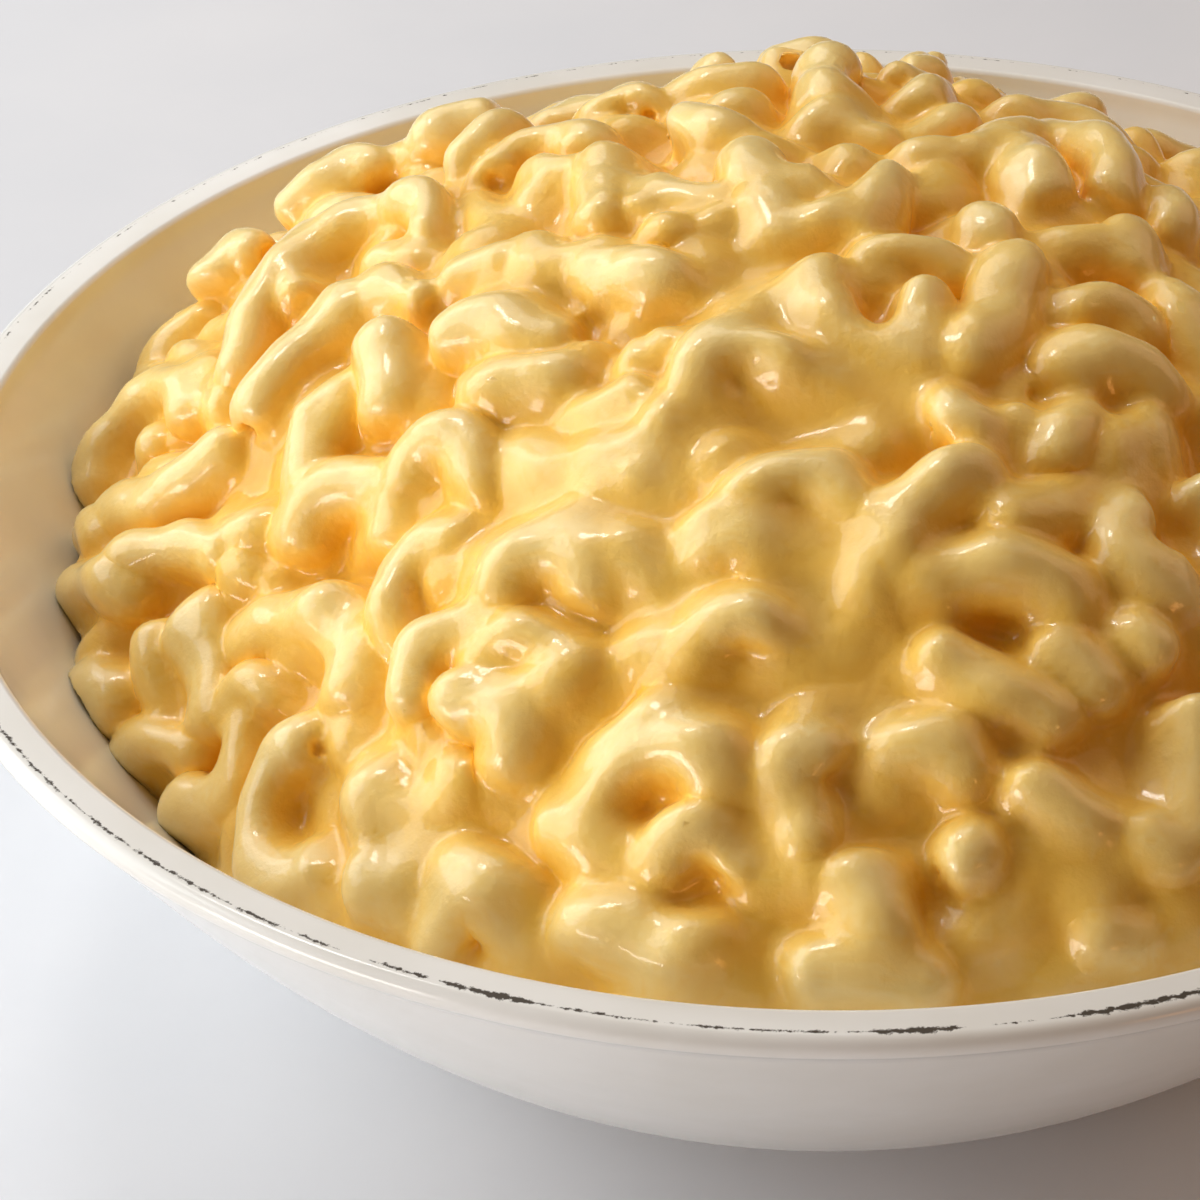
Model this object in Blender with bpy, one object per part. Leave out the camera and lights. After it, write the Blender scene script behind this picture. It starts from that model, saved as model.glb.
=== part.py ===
"""Macaroni and cheese heaped in a wide white glazed bowl.

Metres, +Z up. The origin is on the table under the middle of the foot ring, and -Y faces the diner.
The bowl is one turned solid. The heap is one solid that fills the bowl down to its floor and stands above
the rim as a dome, out to the lumpy outline of the sauced elbow macaroni on its skin.
"""

import math
import random

import bmesh
import bpy
import numpy as np
from mathutils import Vector
from mathutils.geometry import delaunay_2d_cdt

MM = 0.001

# The bowl
RIM_RADIUS = 118.6 * MM
BOWL_HEIGHT = 68 * MM
WALL = 5 * MM
BEAD_RADIUS = 1.6 * MM  # the round bead along the outside of the rim
BEAD_HEIGHT = 4 * MM  # from the crest down to the wall under the bead
BEAD_STANDS_OUT = 2 * MM  # from that wall
LIP_WIDTH = 3.5 * MM  # between the middles of the bead and of the rounded inner edge
INNER_EDGE_RADIUS = 1.2 * MM
FOOT_RADIUS = 56 * MM
FOOT_HEIGHT = 3.5 * MM
FOOT_WIDTH = 5 * MM
UNDERSIDE_HEIGHT = 2 * MM  # the underside inside the foot ring is clear of the table
WALL_START_SLOPE = math.radians(6)  # the wall leaves the foot nearly level
WALL_END_SLOPE = math.radians(59)  # and reaches the rim flared at this slope
WALL_START_REACH = 18 * MM
WALL_END_REACH = 28 * MM
WALL_STEPS = 6
BEAD_STEPS = 6
INNER_EDGE_STEPS = 3
SIDES = 72  # round the bowl and round the heap's edge

# The heap
DOME_ABOVE_RIM = 38 * MM
DOME_POWER = 2.1  # 2 is a paraboloid, and more gives a flatter top with steeper sides
EDGE_BELOW_RIM = [8, 10, 11, 5, 12, 11, 17, 26, 16, 8, 6, 8]  # mm, every 30 degrees round from +X
GAP = 0.3 * MM  # between the heap and the glaze
SKIN_STEP = 3.75 * MM  # spacing of the points on the heap's skin
BED_RINGS = 5  # rings of points on the heap's underside

# The elbow macaroni on the heap's skin
TUBE_RADIUS = 4.2 * MM
BEND_RADIUS = 8.5 * MM
SWEEP = (math.radians(110), math.radians(190))
ELBOW_PITCH = 17 * MM
ELBOW_SINK = 2.0 * MM  # how deep the lower half of a tube lies in the sauce
SEED = 12

GLAZE_COLOUR = (0.86, 0.85, 0.82, 1)
CHEESE_COLOUR = (0.85, 0.60, 0.22, 1)


def bezier(start, start_slope, start_reach, end, end_slope, end_reach, steps):
    """Points on a cubic curve that leaves start and reaches end at the given slopes."""
    leave = Vector((math.cos(start_slope), math.sin(start_slope))) * start_reach
    arrive = Vector((math.cos(end_slope), math.sin(end_slope))) * end_reach
    a, b, c, d = start, start + leave, end - arrive, end
    points = []
    for step in range(steps + 1):
        t = step / steps
        s = 1 - t
        points.append(s**3 * a + 3 * s * s * t * b + 3 * s * t * t * c + t**3 * d)
    return points


def offset_left(points, distance):
    """The line moved to its left by distance, each point along the mean normal of its two sides."""
    moved = []
    for index, point in enumerate(points):
        before = points[max(index - 1, 0)]
        after = points[min(index + 1, len(points) - 1)]
        along = (after - before).normalized()
        moved.append(point + Vector((-along.y, along.x)) * distance)
    return moved


def arc(centre, radius, start, end, steps):
    """Points on an arc round centre, from the angle start to the angle end, in degrees."""
    points = []
    for step in range(steps + 1):
        angle = math.radians(start + (end - start) * step / steps)
        points.append(centre + radius * Vector((math.cos(angle), math.sin(angle))))
    return points


def outer_wall():
    """The outside of the wall as (radius, height), from the foot up to the bead."""
    start = Vector((FOOT_RADIUS, FOOT_HEIGHT))
    end = Vector((RIM_RADIUS - BEAD_STANDS_OUT, BOWL_HEIGHT - BEAD_HEIGHT))
    return bezier(
        start, WALL_START_SLOPE, WALL_START_REACH, end, WALL_END_SLOPE, WALL_END_REACH, WALL_STEPS
    )


def inner_wall():
    """The inside of the bowl as (radius, height), from the middle of the floor up to the lip."""
    wall = offset_left(outer_wall(), WALL)
    floor = Vector((0, wall[0].y))
    return [floor] + wall


def lip():
    """The lip as (radius, height): a rounded inner edge, a flat top, and the bead down to its underside."""
    bead = Vector((RIM_RADIUS - BEAD_RADIUS, BOWL_HEIGHT - BEAD_RADIUS))
    inner_edge = Vector((bead.x - LIP_WIDTH, BOWL_HEIGHT - INNER_EDGE_RADIUS))
    return arc(inner_edge, INNER_EDGE_RADIUS, 150, 90, INNER_EDGE_STEPS) + arc(
        bead, BEAD_RADIUS, 90, -60, BEAD_STEPS
    )


def foot():
    """The foot ring as (radius, height), from its outer edge under to the middle of the underside."""
    return [
        Vector((FOOT_RADIUS - 0.5 * MM, 0)),
        Vector((FOOT_RADIUS - FOOT_WIDTH, 0)),
        Vector((FOOT_RADIUS - FOOT_WIDTH - 1.5 * MM, UNDERSIDE_HEIGHT)),
        Vector((0, UNDERSIDE_HEIGHT)),
    ]


def bowl_mesh():
    """The half outline of the bowl, for a Screw to turn round."""
    outline = inner_wall() + lip() + outer_wall()[::-1] + foot()
    mesh = bpy.data.meshes.new("bowl")
    vertices = [(point.x, 0, point.y) for point in outline]
    edges = [(index, index + 1) for index in range(len(vertices) - 1)]
    mesh.from_pydata(vertices, edges, [])
    return mesh


def edge_height(angle):
    """Height at which the food's edge meets the glaze, smoothly joined between the listed places."""
    place = angle / math.tau * len(EDGE_BELOW_RIM)
    index = math.floor(place)
    blend = (1 - math.cos(math.pi * (place - index))) / 2
    here = EDGE_BELOW_RIM[index % len(EDGE_BELOW_RIM)]
    there = EDGE_BELOW_RIM[(index + 1) % len(EDGE_BELOW_RIM)]
    return BOWL_HEIGHT - (here + (there - here) * blend) * MM


class Bed:
    """The line along which the heap lies in the bowl, a gap inside the glaze, and lengths along it."""

    def __init__(self):
        line = offset_left(inner_wall(), GAP)
        self.radii = np.array([point.x for point in line])
        self.heights = np.array([point.y for point in line])
        steps = np.hypot(np.diff(self.radii), np.diff(self.heights))
        self.lengths = np.concatenate([[0], np.cumsum(steps)])

    def point(self, length, angle):
        radius = np.interp(length, self.lengths, self.radii)
        height = np.interp(length, self.lengths, self.heights)
        return Vector((radius * math.cos(angle), radius * math.sin(angle), height))

    def length_to(self, height):
        return np.interp(height, self.heights[1:], self.lengths[1:])

    def radius_at(self, height):
        return np.interp(height, self.heights[1:], self.radii[1:])


def elbow_places():
    """Centre, first angle and sweep of each bent tube, scattered over the heap."""
    source = random.Random(SEED)
    places = []
    rows = math.ceil((RIM_RADIUS + TUBE_RADIUS) / ELBOW_PITCH)
    for row in range(-rows, rows + 1):
        for column in range(-rows, rows + 1):
            x = (column + 0.5 * (row % 2) + source.uniform(-0.3, 0.3)) * ELBOW_PITCH
            y = (row + source.uniform(-0.3, 0.3)) * ELBOW_PITCH
            places.append((x, y, source.uniform(0, math.tau), source.uniform(*SWEEP)))
    return places


def tube_height(x, y, place):
    """Height of one bent tube's back above its middle line at (x, y), or 0 beside it."""
    centre_x, centre_y, first, sweep = place
    across, along = x - centre_x, y - centre_y
    turn = (math.atan2(along, across) - first) % math.tau
    nearest = first + (turn if turn < sweep else sweep if turn < sweep / 2 + math.pi else 0)
    aside = math.hypot(
        across - BEND_RADIUS * math.cos(nearest), along - BEND_RADIUS * math.sin(nearest)
    )
    return math.sqrt(max(TUBE_RADIUS**2 - aside**2, 0))


def skin_height(x, y, bed, places):
    """Height of the heap's skin: a dome from the edge to the top, raised by the tubes that lie on it."""
    angle = math.atan2(y, x)
    edge = edge_height(angle)
    share = min(math.hypot(x, y) / bed.radius_at(edge), 1)
    dome = edge + (BOWL_HEIGHT + DOME_ABOVE_RIM - edge) * (1 - share**DOME_POWER)
    reach = BEND_RADIUS + TUBE_RADIUS
    near = [p for p in places if abs(x - p[0]) < reach and abs(y - p[1]) < reach]
    tube = max((tube_height(x, y, place) for place in near), default=0)
    return dome + tube - ELBOW_SINK


def skin_triangles(edge):
    """Points spread evenly inside the edge, and the triangles that join them and the edge."""
    outline = [Vector((point.x, point.y)) for point in edge]
    points = list(outline)
    row_step = SKIN_STEP * math.sqrt(3) / 2
    rows = math.ceil(RIM_RADIUS / row_step)
    columns = math.ceil(RIM_RADIUS / SKIN_STEP)
    for row in range(-rows, rows + 1):
        for column in range(-columns, columns + 1):
            point = Vector(((column + 0.5 * (row % 2)) * SKIN_STEP, row * row_step))
            side = round(math.atan2(point.y, point.x) / math.tau * SIDES) % SIDES
            if point.length < outline[side].length - 0.7 * SKIN_STEP:
                points.append(point)
    faces = [list(range(SIDES))]
    inside_only = 1
    found = delaunay_2d_cdt(points, [], faces, inside_only, 1e-7)
    return points, found[2]


def heap_mesh():
    """The dome of food, closed below by rings that follow the inside of the bowl."""
    bed = Bed()
    places = elbow_places()
    angles = [math.tau * side / SIDES for side in range(SIDES)]
    ends = [bed.length_to(edge_height(angle)) for angle in angles]
    edge = [bed.point(end, angle) for end, angle in zip(ends, angles)]
    points, triangles = skin_triangles(edge)

    bm = bmesh.new()
    vertices = [bm.verts.new(point) for point in edge]
    for point in points[SIDES:]:
        vertices.append(bm.verts.new((point.x, point.y, skin_height(point.x, point.y, bed, places))))
    for triangle in triangles:
        bm.faces.new([vertices[index] for index in triangle])
    ring = vertices[:SIDES]
    for level in range(BED_RINGS - 1, 0, -1):
        share = level / BED_RINGS
        lower = [bm.verts.new(bed.point(end * share, angle)) for end, angle in zip(ends, angles)]
        for side in range(SIDES):
            after = (side + 1) % SIDES
            bm.faces.new([ring[after], ring[side], lower[side], lower[after]])
        ring = lower
    middle = bm.verts.new(bed.point(0, 0))
    for side in range(SIDES):
        bm.faces.new([ring[(side + 1) % SIDES], ring[side], middle])
    bmesh.ops.recalc_face_normals(bm, faces=bm.faces)
    mesh = bpy.data.meshes.new("macaroni_heap")
    bm.to_mesh(mesh)
    bm.free()
    return mesh


def material(name, colour, roughness, coat):
    made = bpy.data.materials.new(name)
    made.use_nodes = True
    shader = made.node_tree.nodes["Principled BSDF"]
    shader.inputs["Base Color"].default_value = colour
    shader.inputs["Roughness"].default_value = roughness
    shader.inputs["Metallic"].default_value = 0
    shader.inputs["Coat Weight"].default_value = coat
    return made


def add_object(name, mesh, finish):
    made = bpy.data.objects.new(name, mesh)
    made.data.materials.append(finish)
    bpy.context.scene.collection.objects.link(made)
    return made


def add_bowl():
    bowl = add_object("bowl", bowl_mesh(), material("white_glaze", GLAZE_COLOUR, 0.15, 0.5))
    turn = bowl.modifiers.new("turn", "SCREW")
    turn.axis = "Z"
    turn.angle = math.tau
    turn.steps = SIDES
    turn.render_steps = SIDES
    turn.use_merge_vertices = True
    turn.merge_threshold = 1e-5
    turn.use_smooth_shade = True


def add_heap():
    mesh = heap_mesh()
    mesh.shade_smooth()
    add_object("macaroni_heap", mesh, material("macaroni_and_cheese", CHEESE_COLOUR, 0.3, 0.3))


for old in list(bpy.data.objects):
    bpy.data.objects.remove(old, do_unlink=True)
add_bowl()
add_heap()
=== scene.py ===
"""Looks of the bowl of macaroni and cheese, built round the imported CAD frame.

Metres, +Z up, origin on the table under the middle of the foot ring, -Y towards the diner. Sizes are in mm
until a mesh is made.
The heap is worked out as a distance field: bent, hollow elbows of macaroni, laid on each other like a real
pile, are joined by smooth sauce, and the field's surface becomes one mesh over a plain core.
"""

import math
import random

import bmesh
import bpy
import numpy as np
import openvdb
from mathutils import Matrix, Vector


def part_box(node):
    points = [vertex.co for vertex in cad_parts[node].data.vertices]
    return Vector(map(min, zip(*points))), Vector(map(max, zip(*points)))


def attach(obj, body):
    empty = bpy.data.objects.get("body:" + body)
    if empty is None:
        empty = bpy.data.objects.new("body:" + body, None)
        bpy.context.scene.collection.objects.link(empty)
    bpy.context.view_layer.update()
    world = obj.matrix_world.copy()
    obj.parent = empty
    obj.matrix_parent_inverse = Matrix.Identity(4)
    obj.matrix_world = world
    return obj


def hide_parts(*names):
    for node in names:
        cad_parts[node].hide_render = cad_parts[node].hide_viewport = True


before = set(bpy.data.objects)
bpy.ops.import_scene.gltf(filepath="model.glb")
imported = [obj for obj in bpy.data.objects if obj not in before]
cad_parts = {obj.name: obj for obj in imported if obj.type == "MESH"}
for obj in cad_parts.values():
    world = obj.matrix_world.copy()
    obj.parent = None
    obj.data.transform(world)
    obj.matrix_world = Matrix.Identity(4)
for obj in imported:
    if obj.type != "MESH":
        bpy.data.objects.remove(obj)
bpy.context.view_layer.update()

MM = 0.001

# ---------------------------------------------------------------- the bowl's sizes, in mm
RIM_RADIUS = 118.6
RIM_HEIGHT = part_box("bowl")[1].z / MM
WALL = 5.0
WALL_START_SLOPE = math.radians(6)  # the wall leaves the foot nearly level
WALL_END_SLOPE = math.radians(59)  # and reaches the rim flared at this slope
WALL_START_REACH = 18
WALL_END_REACH = 28
BEAD_RADIUS = 1.6  # the round bead along the outside of the rim
BEAD_HEIGHT = 4.0  # from the crest down to the wall under the bead
BEAD_STANDS_OUT = 2.0  # from that wall
LIP_WIDTH = 3.5  # between the middles of the bead and of the rounded inner edge
INNER_EDGE_RADIUS = 1.2
FOOT_RADIUS = 56.0
FOOT_HEIGHT = 3.5
FOOT_WIDTH = 5.0
FOOT_EDGE = 0.4  # height of the small bevels along the foot's contact face
UNDERSIDE_HEIGHT = 2.0
BOWL_SIDES = 256

# ---------------------------------------------------------------- the heap's sizes, in mm
DOME_TOP = 38.0  # the dome's top above the rim
DOME_POWER = 2.1  # 2 is a paraboloid, and more gives a flatter top with steeper sides
DOME_FALL = 40  # how fast the dome drops away outside the wall
EDGE_BELOW_RIM = [8, 10, 11, 5, 12, 11, 17, 26, 16, 8, 6, 8]  # every 30 degrees round from +X
FIELD_BOTTOM = 30.0  # height above the table, well under the sauce
FIELD_HEADROOM = 14  # above the dome's top
FIELD_REACH = 5.0  # how far from its side an elbow still counts
FIELD_FAR = 6.0  # longer distances are cut off to this
SKIN_BOTTOM = FIELD_BOTTOM + 2  # the macaroni is cut off level here, inside the heap
VOXEL = 0.7
HEAP_TRIANGLES = 190_000
CORE_TOP = 34.0  # a little way up into the macaroni
CORE_GAP = 0.3  # between the core and the glaze
CORE_SIDES = 96

# Macaroni
TUBE = 3.75  # outer radius of a cooked, coated elbow
HOLE = 1.9  # radius of the hole in its ends
HOLE_SHARE = 0.45  # of the tube's radius, for the elbows that are laid one by one
END_DEPTHS = (0, 0, 1, 2.5)  # how far a hole goes in before sauce fills it, drawn at random
END_ROUNDING = 0.7  # share of the tube's radius by which the rim of an end is rounded
HOLE_ROUNDING = 0.7  # how softly a hole runs into the end round it
BEND = 6.8  # radius of the bend's middle line
SINK = 0.5  # how much deeper the laid elbows lie than their listed heights
SEED = 7

# Sauce
SAUCE_LEVEL = -3.3  # above the dome
RIPPLE = 0.55  # height of the low waves in its level
COAT = 0.35  # sauce clinging to every elbow
BLEND = 0.75  # how softly neighbouring elbows run together
POOL_BLEND = 0.2  # and how much more so for each mm by which a pool rises
OVERLAP = 0.2  # how far the food reaches into the glaze, so that no gap shows along its edge

# Macaroni in front, at the left and on top, laid one by one: two ends and a point between them on the middle
# line, each (x, y, height above the dome), then the tube's outer radius.
ELBOWS = [
    ((-100, 12, -2), (-96.5, 19, -0.5), (-83, 6, -1.5), 3.7),
    ((-93, 2, -3), (-81, -7, -2), (-76, -5, -3), 3.7),
    ((-99, 3, -4), (-96, 0, -2), (-93, -5, -3), 3.0),
    ((-91, -14, -3), (-82, -18, -1), (-75, -23, -2), 3.6),
    ((-99, -8, -3), (-93, -15, -1), (-86, -21, -3), 3.6),
    ((-99, -15, -6), (-94, -19, -5), (-88, -23, -6), 3.4),
    ((-97, -26, -3), (-92, -28, 0), (-87, -31, -3), 4.6),
    ((-85, -24, -2), (-83, -31, -1), (-80, -37, -3), 3.4),
    ((-81, -26, -1), (-77, -35, 0), (-76, -42, -2), 4.4),
    ((-75, -25, -3), (-73, -26, -2), (-71, -28, -3), 2.6),
    ((-73, -34, -3), (-60, -42, 0), (-55, -56, -3), 4.0),
    ((-66, -37, -4), (-62, -40, -3), (-58, -46, -5), 3.0),
    ((-66, -48, -3), (-70, -42, -1), (-73, -44, -2), 3.4),
    ((-71, -43, -2), (-72, -50, -1), (-80, -46, -2), 3.5),
    ((-63, -12, -2), (-65, -17, -1), (-63, -23, -2), 3.4),
    ((-65, -28, -3), (-57, -26, 0), (-53, -36, -3), 3.8),
    ((-88, -36, -3), (-83, -38, 0), (-77, -43, -3), 3.5),
    ((-60, -59, 0), (-67, -60, 0), (-58, -73, -2), 3.9),
    ((-94, 33, -4), (-91, 28, -2), (-88, 21, -3), 3.2),
    ((-85, 26, -3), (-82, 13, -1), (-78, 3, -3), 3.6),
    ((-61, 6, -2), (-56, 4, -1), (-50, -1, -2), 3.3),
    ((-56, -5, -2), (-55, -12, -1), (-54, -19, -2), 3.8),
    ((-48, 2, -2.5), (-44, 1, -2), (-39, -1, -2), 3.2),
    ((-48, -11.5, -1.5), (-41, -14, 0.5), (-32, -18, -1.5), 4.2),
    ((-44, -21, -2.5), (-36, -24, -1), (-29, -27, -3), 5.0),
    ((-51, -32, -1), (-47, -28, 1), (-42, -37, -2), 4.0),
    ((-43, 26, -1.5), (-37, 33, 0), (-31, 26, -1), 3.2),
    ((-29, 20, -2), (-28, 10, -1), (-29, 1, -2), 3.4),
    ((-24, 3, -1.5), (-22, 3, -1), (-20, 3, -2), 2.2),
    ((-22, 9, -1), (-17, 4.5, -0.5), (-11, 3, -2), 3.0),
    ((-31, -10, -2), (-25, -11, -1), (-18, -17, -3), 4.6),
    ((-37, -56, -2), (-32, -52, 1), (-27, -59, -1), 4.0),
    ((-28, -53, -3), (-23, -55, -1), (-18, -59, -3), 4.0),
    ((-48, -63, -2), (-45, -57, 0), (-37, -60, -2), 3.8),
    ((-38, -64, -2), (-34, -62, 0), (-31, -68, -2), 3.6),
    ((-43, -67, -1), (-38, -68, 1), (-35, -75, -2), 3.6),
    ((-34, -68, -1), (-32, -69, 0), (-30, -70, -1), 2.8),
    ((-24, -85, -3), (-17, -79, 1), (-9, -85, -2), 4.4),
    ((-41, -89, -2), (-38, -86, 1), (-34, -91, -2), 4.4),
    ((-31, -80, -2), (-27, -83, -1), (-22, -88, -3), 4.0),
    ((-28, -91, -1), (-22, -95, 0), (-15, -99, -2), 4.6),
    ((-16, -91, -2), (-13, -89, 1), (-8, -92, -2), 3.6),
    ((2, -82, 0), (-2.5, -83, 0.5), (1, -85, -2), 3.6),
    ((6, -81, -1), (11, -81.5, 0), (17.5, -84, -2), 3.5),
    ((-3, -87, -1), (-2, -89, 0), (0, -90, -1), 2.6),
    ((5, -92, -1), (6, -96, 0), (6, -101, -3), 4.2),
    ((-2, -103, -1), (5, -103, 0), (13, -103, -2), 4.2),
    ((14, -93, 0), (17, -92, 0), (20, -91, -1), 3.5),
    ((22, -84, -1), (27, -86, 0), (32, -88, -2), 3.8),
    ((36, -87, 0), (38, -88, 0), (41, -89, -1), 3.4),
    ((31, -97, -1), (34, -97, -1), (37, -97, -2), 2.9),
    ((13, -70, -1), (20, -74, 0), (28, -78, -1), 4.0),
    ((26, -70, 0), (29, -71, 1), (32, -73, -1), 3.4),
    ((13, -64, -2), (21, -62, 1), (30, -64, -2), 4.6),
    ((34, -65, 0), (36, -66, 0), (39, -67, -1), 3.8),
    ((38, -50, 1), (35.5, -58, 1), (43.5, -59, 1), 3.8),
    ((10, -59, -1), (13, -54, 1), (20, -50, 0), 4.6),
    ((-7, -53, -2), (-3.5, -50, 1), (0.5, -53, -2), 3.9),
    ((-13, -58, -2), (-8.5, -57, 0), (-5, -60, -3), 4.0),
    ((-10.5, -68, -2), (-7.5, -67, 0), (-4.5, -69, -2), 3.9),
    ((14, -42, 0), (16.5, -42, 1), (18, -45, -2), 3.4),
    ((22.5, -38, 0), (23, -40, 0), (23, -43, -2), 3.3),
    ((32, -35, 0), (28.5, -41, 1), (27, -47, 0), 3.2),
    ((20, -55, 0), (26, -54, 0), (33, -49, -2), 4.0),
    ((34, -36, -2), (35, -43, -1), (33, -49, -3), 4.2),
    ((28.5, -32, -1), (35, -29, 1), (41.5, -31, -2), 4.4),
    ((29, -21, -2), (33, -18.5, 0), (38, -22, -2), 4.0),
    ((22.5, -10, 0), (22.5, -21, 0.5), (16, -33, -1), 3.8),
    ((13, -20, 0), (12, -27, 0.5), (10, -33, -1), 3.6),
    ((4, -13, -1), (12, -11.5, 1), (18, -15, -2), 3.4),
    ((3, -8, -1), (6, -2, 0), (9, 8, 0), 3.4),
    ((-7, 3, -1), (-6, -3, 0), (-5, -9, -2), 3.6),
    ((-3, -6, 0), (0, -5, 0.5), (3, -3, -2), 3.0),
    ((-7, 14, 0), (-7.5, 5.5, 0), (-1, 4, -1), 3.6),
    ((22, -1.5, -0.5), (21, -4.5, 0.5), (21, -8, -1.5), 3.0),
    ((-12.5, -36, -2), (-8, -31, 1), (-4.5, -35, -2), 3.8),
    ((0, -15, -1.5), (1.5, -26, 0), (8, -30, -2), 3.2),
    ((27, 28, -1), (36, 21, 2.5), (36, 6, 0), 4.0),
    ((28, 20, 0), (27, 8, 1), (29, 3, 0), 3.8),
    ((19.5, 13, -1), (23.5, 21, 0), (28, 27, 0), 4.0),
    ((27, -5, -3), (32, -5, -2), (37, -5, -3), 4.4),
    ((37, 2, -1), (38, -3, 0), (38, -9, -1), 3.8),
    ((44.5, 13, 0), (45, 9, 1), (44.5, 3, -1), 3.6),
    ((42, -8, -1), (45, -15, 0), (50, -24, -1), 4.2),
    ((0, 48, 1), (-1, 40, 1), (-1, 30, -1), 3.4),
    ((-21, 45, -1.5), (-14, 46, 0), (-7, 44, -2), 4.8),
    ((-20, 28, 0), (-15, 24, 0), (-11, 20, -2), 4.0),
    ((-87, 42, 2), (-83, 46, 3.5), (-78, 44, 1), 3.8),
    ((-76, 48, 4), (-71, 50, 5), (-65, 50, 4), 3.8),
    ((-70, 52, 2), (-66, 52, 5), (-62, 48, 2), 3.8),
    ((-62, 50, 0), (-58, 52, 2), (-55, 48, 0), 3.8),
    ((-55, 48, 2), (-52, 53, 4.5), (-44, 54, 4), 3.8),
    ((-68, 14, -1), (-60, 29, 1), (-53, 14, -1), 3.5),
    ((-66, 31, 0), (-73, 20, 1), (-77, 6, -1), 4.0),
    ((-60, 6, 0), (-67, 0, 0.5), (-74, -8, -1), 3.6),
    ((-50, 34, 0), (-45, 38, 1), (-46, 46, 0), 4.0),
    ((-38, 50, 0), (-34, 54, 1), (-28, 52, 0), 4.0),
    ((-30, 40, -1), (-27, 44, 0), (-24, 40, -1), 4.2),
    ((24, 42, -2), (32, 46, -1), (39, 40, -2), 4.5),
    ((10, 45, -1), (12, 48, 0), (16, 46, -1), 3.8),
    ((12, 34, -1), (13, 39, 0), (15, 44, -2), 3.6),
    ((-4, 26, -2), (0, 27, -1), (5, 26, -2), 3.2),
    ((10, 14, -2), (14, 15, -1), (18, 13, -2), 3.2),
    ((42, -72, 0), (42.5, -80, 0), (42, -88, -1), 3.8),
    ((38, -34, -1), (39, -38, 0), (39, -42, -2), 3.4),
    ((44, -44, 1), (47, -46, 1), (51, -50, 0), 3.8),
    ((-53, -80, -2), (-50, -81, -1), (-47, -84, -3), 3.6),
]

# Where the sauce stands above its common level, as smooth pools that fill the gaps, or below it, as drier
# places: x, y, half widths, turn in degrees, rise.
POOLS = [
    (-22, -20, 11, 12, -20, -1.5),
    (-10, -28, 5, 14, -35, 3.2),
    (-26, -45, 10, 8, 0, 4.8),
    (-17, -66, 6, 10, 10, 3.0),
    (5, -61, 6, 12, 10, 2.8),
    (5, -34, 7, 5, 0, 3.0),
    (-48, -76, 9, 6, 0, 3.6),
    (-85, -14, 36, 60, 0, -2.0),
    (-20, 70, 90, 22, 0, -1.2),
    (26, -84, 24, 15, -10, 1.4),
    (-22, -98, 26, 7, -12, 2.2),
    (4, -66, 8, 10, 0, 1.6),
    (5, -50, 44, 46, 0, 1.2),
    (-10, -18, 7, 14, -20, 1.5),
]


# ---------------------------------------------------------------- the bowl's and the heap's form
def bezier(start, start_slope, start_reach, end, end_slope, end_reach, steps):
    """Points on a cubic curve that leaves start and reaches end at the given slopes."""
    leave = Vector((math.cos(start_slope), math.sin(start_slope))) * start_reach
    arrive = Vector((math.cos(end_slope), math.sin(end_slope))) * end_reach
    a, b, c, d = start, start + leave, end - arrive, end
    points = []
    for step in range(steps + 1):
        t = step / steps
        s = 1 - t
        points.append(s**3 * a + 3 * s * s * t * b + 3 * s * t * t * c + t**3 * d)
    return points


def offset_left(points, distance):
    """The line moved to its left by distance, each point along the mean normal of its two sides."""
    moved = []
    for index, point in enumerate(points):
        before = points[max(index - 1, 0)]
        after = points[min(index + 1, len(points) - 1)]
        along = (after - before).normalized()
        moved.append(point + Vector((-along.y, along.x)) * distance)
    return moved


def arc(centre, radius, start, end, steps):
    """Points on an arc round centre, from the angle start to the angle end, in degrees."""
    points = []
    for step in range(steps + 1):
        angle = math.radians(start + (end - start) * step / steps)
        points.append(centre + radius * Vector((math.cos(angle), math.sin(angle))))
    return points


def outer_wall(steps):
    """The outside of the wall as (radius, height), from the foot up to the bead."""
    start = Vector((FOOT_RADIUS, FOOT_HEIGHT))
    end = Vector((RIM_RADIUS - BEAD_STANDS_OUT, RIM_HEIGHT - BEAD_HEIGHT))
    return bezier(start, WALL_START_SLOPE, WALL_START_REACH, end, WALL_END_SLOPE, WALL_END_REACH, steps)


def lip():
    """The lip as (radius, height): a rounded inner edge, a flat top, and the bead down to its underside."""
    bead = Vector((RIM_RADIUS - BEAD_RADIUS, RIM_HEIGHT - BEAD_RADIUS))
    inner_edge = Vector((bead.x - LIP_WIDTH, RIM_HEIGHT - INNER_EDGE_RADIUS))
    return arc(inner_edge, INNER_EDGE_RADIUS, 150, 90, 6) + arc(bead, BEAD_RADIUS, 90, -60, 16)


def foot():
    """The foot ring as (radius, height), from its outer edge under to the start of the underside."""
    inside = FOOT_RADIUS - FOOT_WIDTH
    return [
        Vector((FOOT_RADIUS, FOOT_HEIGHT - 2.0)),
        Vector((FOOT_RADIUS - 0.3, FOOT_EDGE)),
        Vector((FOOT_RADIUS - 1.0, 0)),
        Vector((inside + 0.6, 0)),
        Vector((inside, FOOT_EDGE)),
        Vector((inside - 1.5, UNDERSIDE_HEIGHT)),
    ]


def bowl_outline():
    """The bowl's half outline: its floor, the inside of the wall, the lip, the outside, and the foot."""
    wall = offset_left(outer_wall(48), WALL)
    floor_line = [Vector((wall[0].x * share, wall[0].y)) for share in (0.0, 0.3, 0.6, 0.85)]
    underside = Vector((0, UNDERSIDE_HEIGHT))
    return floor_line + wall + lip() + outer_wall(48)[::-1] + foot() + [underside]


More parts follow.
